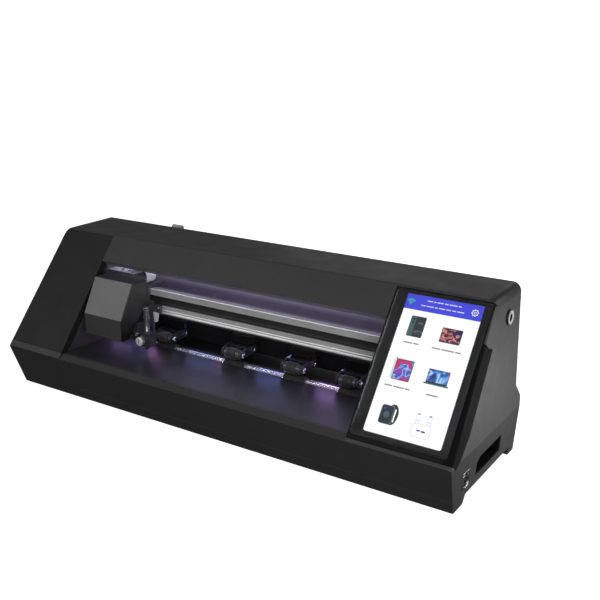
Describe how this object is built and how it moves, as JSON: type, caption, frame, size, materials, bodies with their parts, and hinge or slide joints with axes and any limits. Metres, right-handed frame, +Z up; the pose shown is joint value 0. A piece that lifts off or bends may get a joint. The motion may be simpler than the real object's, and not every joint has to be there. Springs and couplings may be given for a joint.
{
  "type": "vinyl cutter",
  "caption": "Desktop roll-feed sheet cutter: sloping-front case, touch display on the right, sliding blade carriage on a rail, grit feed shaft with pinch rollers.",
  "frame": {"origin": "centre of the bounding box's bottom face, on the table", "axes": "+X along the media width towards the display, +Y from the operator to the back, +Z up"},
  "size_m": [0.456, 0.1454, 0.1499],
  "materials": {
    "case_plastic": "satin",
    "slab_plastic": "satin",
    "deck_plastic": "satin",
    "trim_plastic": "satin",
    "cover_glass": "polished",
    "mask_black": "gloss",
    "lcd": "gloss",
    "wall_gloss": "gloss",
    "frame_steel": "satin",
    "rail_aluminium": "satin",
    "bright_steel": "polished",
    "grit_steel": "rough",
    "bearing_steel": "satin",
    "motor_black": "satin",
    "belt_rubber": "matte",
    "pulley_aluminium": "satin",
    "led_board": "matte",
    "ribbon_film": "satin",
    "circuit_board": "satin",
    "jack_chrome": "polished",
    "port_steel": "satin",
    "foot_rubber": "matte",
    "screw_black": "satin",
    "arm_plastic": "satin",
    "roller_rubber": "matte",
    "lift_steel": "satin",
    "lever_grey": "satin",
    "carriage_grey": "satin",
    "carriage_dark": "satin",
    "solenoid_steel": "satin",
    "tool_dark": "satin",
    "spring_steel": "polished",
    "blade_steel": "polished",
    "switch_black": "gloss"
  },
  "bodies": {
    "chassis": {"base_pan": "case_plastic", "front_fascia": "case_plastic", "left_end_cap": "case_plastic", "right_end_cap": "case_plastic", "rear_cover": "case_plastic", "top_cover": "case_plastic", "left_cheek": "slab_plastic", "display_bezel": "slab_plastic", "deck_plate": "deck_plastic", "deck_trim": "trim_plastic", "cover_glass": "cover_glass", "display_mask": "mask_black", "lcd_panel": "lcd", "inner_back_wall": "wall_gloss", "pinch_beam": "frame_steel", "left_frame_plate": "frame_steel", "right_frame_plate": "frame_steel", "carriage_rail": "rail_aluminium", "pinch_pivot_pins": "bright_steel", "shaft_bearings": "bearing_steel", "feed_motor": "motor_black", "carriage_motor": "motor_black", "feed_belt": "belt_rubber", "carriage_belt": "belt_rubber", "idler_bracket": "frame_steel", "led_strip": "led_board", "ribbon_cable": "ribbon_film", "main_board": "circuit_board", "dc_jack": "jack_chrome", "usb_port": "port_steel", "rubber_feet": "foot_rubber", "cover_screws": "screw_black"},
    "feed_shaft": {"drive_shaft": "bright_steel", "grit_rollers": "grit_steel", "shaft_pulley": "pulley_aluminium"},
    "feed_rotor": {"feed_pulley": "pulley_aluminium"},
    "lift": {"lift_shaft": "lift_steel", "lift_lever": "lever_grey"},
    "carriage": {"carriage_block": "carriage_dark", "carriage_cover": "carriage_grey", "solenoid": "solenoid_steel", "ribbon_loop": "ribbon_film", "tool_spring": "spring_steel"},
    "tool": {"tool_holder": "tool_dark", "blade_holder": "bright_steel"},
    "cutting_blade": {"blade": "blade_steel"},
    "clamp_screw": {"thumb_screw": "jack_chrome"},
    "belt_rotor": {"belt_drive_pulley": "pulley_aluminium"},
    "belt_idler": {"belt_idler_pulley": "pulley_aluminium"},
    "power_rocker": {"rocker_switch": "switch_black"},
    "arm_1": {"pinch_arm_1": "arm_plastic"},
    "roller_1": {"pinch_roller_1": "roller_rubber"},
    "arm_2": {"pinch_arm_2": "arm_plastic"},
    "roller_2": {"pinch_roller_2": "roller_rubber"},
    "arm_3": {"pinch_arm_3": "arm_plastic"},
    "roller_3": {"pinch_roller_3": "roller_rubber"},
    "arm_4": {"pinch_arm_4": "arm_plastic"},
    "roller_4": {"pinch_roller_4": "roller_rubber"}
  },
  "joints": [
    {"name": "feed_spin", "type": "hinge", "parent": "chassis", "child": "feed_shaft", "pos_m": [0, 0.00715, 0.0423], "axis": [1, 0, 0], "continuous": true},
    {"name": "feed_motor_spin", "type": "hinge", "parent": "chassis", "child": "feed_rotor", "pos_m": [0.157, 0.04365, 0.038], "axis": [1, 0, 0], "continuous": true},
    {"name": "pinch_lift", "type": "hinge", "parent": "chassis", "child": "lift", "pos_m": [0, 0.03815, 0.0628], "axis": [-1, 0, 0], "range_deg": [0, 20]},
    {"name": "pinch_arm_1_lift", "type": "hinge", "parent": "chassis", "child": "arm_1", "pos_m": [-0.0995, 0.02365, 0.055], "axis": [-1, 0, 0], "range_deg": [0, 6]},
    {"name": "pinch_roller_1_spin", "type": "hinge", "parent": "arm_1", "child": "roller_1", "pos_m": [-0.0995, 0.00715, 0.0543], "axis": [1, 0, 0], "continuous": true},
    {"name": "pinch_arm_2_lift", "type": "hinge", "parent": "chassis", "child": "arm_2", "pos_m": [-0.0187, 0.02365, 0.055], "axis": [-1, 0, 0], "range_deg": [0, 6]},
    {"name": "pinch_roller_2_spin", "type": "hinge", "parent": "arm_2", "child": "roller_2", "pos_m": [-0.0187, 0.00715, 0.0543], "axis": [1, 0, 0], "continuous": true},
    {"name": "pinch_arm_3_lift", "type": "hinge", "parent": "chassis", "child": "arm_3", "pos_m": [0.0463, 0.02365, 0.055], "axis": [-1, 0, 0], "range_deg": [0, 6]},
    {"name": "pinch_roller_3_spin", "type": "hinge", "parent": "arm_3", "child": "roller_3", "pos_m": [0.0463, 0.00715, 0.0543], "axis": [1, 0, 0], "continuous": true},
    {"name": "pinch_arm_4_lift", "type": "hinge", "parent": "chassis", "child": "arm_4", "pos_m": [0.102, 0.02365, 0.055], "axis": [-1, 0, 0], "range_deg": [0, 6]},
    {"name": "pinch_roller_4_spin", "type": "hinge", "parent": "arm_4", "child": "roller_4", "pos_m": [0.102, 0.00715, 0.0543], "axis": [1, 0, 0], "continuous": true},
    {"name": "carriage_slide", "type": "slide", "parent": "chassis", "child": "carriage", "axis": [1, 0, 0], "range_m": [0, 0.228]},
    {"name": "tool_slide", "type": "slide", "parent": "carriage", "child": "tool", "axis": [0, 0, -1], "range_m": [0, 0.003], "stiffness_N_per_m": 220, "springref_m": -0.004, "deforming": ["tool_spring"]},
    {"name": "blade_swivel", "type": "hinge", "parent": "tool", "child": "cutting_blade", "pos_m": [-0.0984, -0.01995, 0.055], "axis": [0, 0, 1], "continuous": true},
    {"name": "thumb_screw_turn", "type": "hinge", "parent": "tool", "child": "clamp_screw", "pos_m": [-0.0958, -0.03135, 0.0612], "axis": [0, 1, 0], "continuous": true},
    {"name": "belt_drive_spin", "type": "hinge", "parent": "chassis", "child": "belt_rotor", "pos_m": [0.17, 0.01315, 0.09], "axis": [0, 1, 0], "continuous": true},
    {"name": "belt_idler_spin", "type": "hinge", "parent": "chassis", "child": "belt_idler", "pos_m": [-0.192, 0.01315, 0.09], "axis": [0, 1, 0], "continuous": true},
    {"name": "power_rocker_tilt", "type": "hinge", "parent": "chassis", "child": "power_rocker", "pos_m": [0.203, 0.05165, 0.1025], "axis": [1, 0, 0], "range_deg": [0, 18]}
  ],
  "couplings": [
    {"joint": "feed_motor_spin", "follows": "feed_spin", "ratio": 1},
    {"joint": "pinch_arm_1_lift", "follows": "pinch_lift", "ratio": 0.3},
    {"joint": "pinch_roller_1_spin", "follows": "feed_spin", "ratio": -1.25},
    {"joint": "pinch_arm_2_lift", "follows": "pinch_lift", "ratio": 0.3},
    {"joint": "pinch_roller_2_spin", "follows": "feed_spin", "ratio": -1.25},
    {"joint": "pinch_arm_3_lift", "follows": "pinch_lift", "ratio": 0.3},
    {"joint": "pinch_roller_3_spin", "follows": "feed_spin", "ratio": -1.25},
    {"joint": "pinch_arm_4_lift", "follows": "pinch_lift", "ratio": 0.3},
    {"joint": "pinch_roller_4_spin", "follows": "feed_spin", "ratio": -1.25},
    {"joint": "belt_drive_spin", "follows": "carriage_slide", "rad_per_m": 150},
    {"joint": "belt_idler_spin", "follows": "carriage_slide", "rad_per_m": 150}
  ]
}
